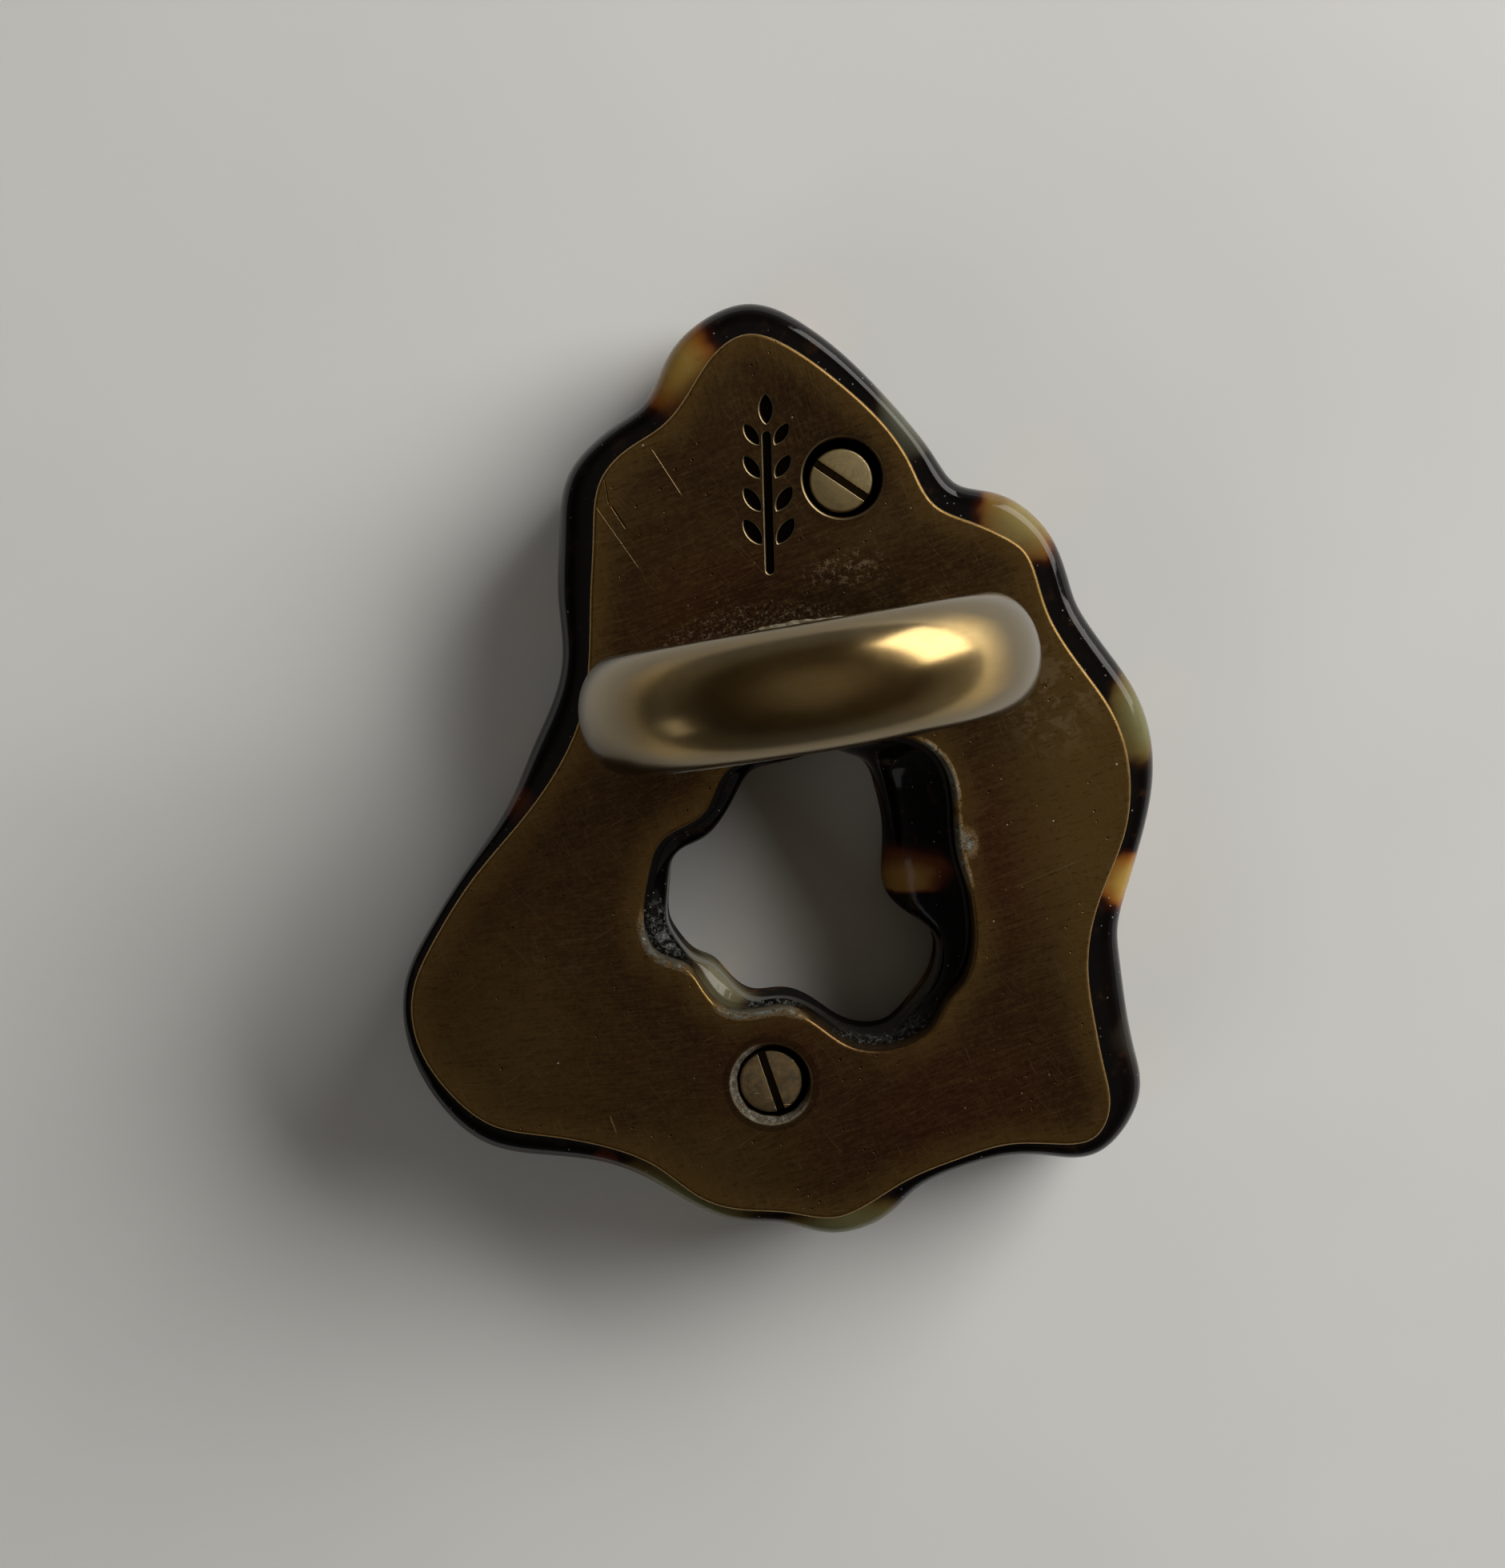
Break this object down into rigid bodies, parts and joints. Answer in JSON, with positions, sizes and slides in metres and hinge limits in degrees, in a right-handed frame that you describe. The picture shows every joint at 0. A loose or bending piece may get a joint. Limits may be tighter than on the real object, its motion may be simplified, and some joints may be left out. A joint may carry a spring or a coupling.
{
  "type": "statement finger ring",
  "caption": "Finger ring with a free-form tortoiseshell acetate slab, pierced and screwed to a brushed brass back plate that carries a half-oval polished brass band.",
  "frame": {"origin": "centre of the finger bore, midway along the band's width", "axes": "+Y along the finger bore, +Z from the ornament towards the finger's far side (the ring lies face down, front face towards -Z), +X to the right across the plate"},
  "size_m": [0.0421, 0.0501, 0.0287],
  "materials": {
    "brushed_plate": "antiqued, brushed, lightly worn at the edges",
    "polished_band": "satin polish",
    "acetate": "tortoiseshell, hand-polished gloss",
    "screw_brass": "turned, dull with handling",
    "insert_brass": "as machined",
    "braze": "dull, as run"
  },
  "bodies": {
    "root": {"finger_band": "polished_band", "band_solder": "braze", "back_plate": "brushed_plate", "tortoiseshell_slab": "acetate", "upper_screw": "screw_brass", "lower_screw": "screw_brass", "upper_insert": "insert_brass", "lower_insert": "insert_brass"}
  },
  "joints": []
}
